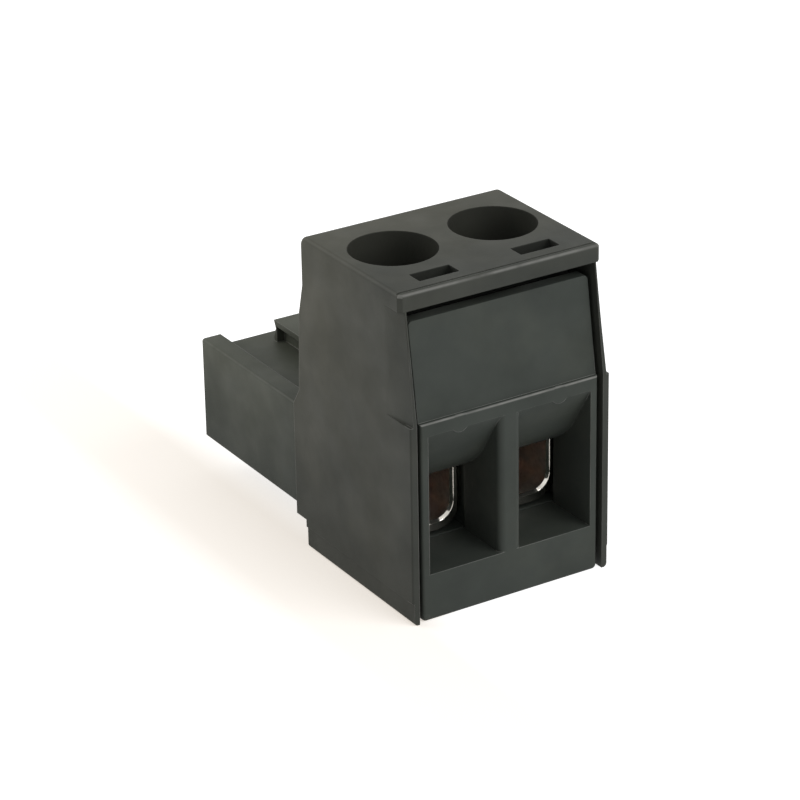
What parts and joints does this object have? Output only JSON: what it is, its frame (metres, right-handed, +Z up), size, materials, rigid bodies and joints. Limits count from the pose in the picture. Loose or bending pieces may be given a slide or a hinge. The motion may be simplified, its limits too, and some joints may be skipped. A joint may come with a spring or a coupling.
{
  "type": "pluggable terminal block plug",
  "caption": "Plug-in terminal block for a board header: a black shell over a contact carrier, with captive screws that lift clamp sleeves onto the wires.",
  "frame": {"origin": "middle of the base, halfway between the front edge of the shell and the tip of the nose", "axes": "+Z up towards the screw holes, +Y from the wire entries to the nose that takes the header's pins, +X across the poles"},
  "size_m": [0.0102, 0.0184, 0.0152],
  "materials": {
    "shell_plastic": "matte, finely textured",
    "carrier_plastic": "matte, smooth moulded",
    "sleeve_metal": "nickel plated steel",
    "screw_metal": "zinc plated steel",
    "contact_metal": "copper alloy, lightly tinned"
  },
  "bodies": {
    "housing": {"outer_shell": "shell_plastic", "contact_carrier": "carrier_plastic", "contact_left": "contact_metal", "contact_right": "contact_metal"},
    "left_screw": {"clamp_screw_left": "screw_metal"},
    "left_sleeve": {"clamp_sleeve_left": "sleeve_metal"},
    "right_screw": {"clamp_screw_right": "screw_metal"},
    "right_sleeve": {"clamp_sleeve_right": "sleeve_metal"}
  },
  "joints": [
    {"name": "left_screw_turn", "type": "hinge", "parent": "housing", "child": "left_screw", "pos_m": [-0.00254, -0.00396, 0.01], "axis": [0, 0, 1], "range_deg": [-1440, 0]},
    {"name": "left_sleeve_lift", "type": "slide", "parent": "housing", "child": "left_sleeve", "axis": [0, 0, 1], "range_m": [0, 0.002]},
    {"name": "right_screw_turn", "type": "hinge", "parent": "housing", "child": "right_screw", "pos_m": [0.00254, -0.00396, 0.01], "axis": [0, 0, 1], "range_deg": [-1440, 0]},
    {"name": "right_sleeve_lift", "type": "slide", "parent": "housing", "child": "right_sleeve", "axis": [0, 0, 1], "range_m": [0, 0.002]}
  ],
  "couplings": [
    {"joint": "left_screw_turn", "follows": "left_sleeve_lift", "rad_per_m": -12566},
    {"joint": "right_screw_turn", "follows": "right_sleeve_lift", "rad_per_m": -12566}
  ]
}
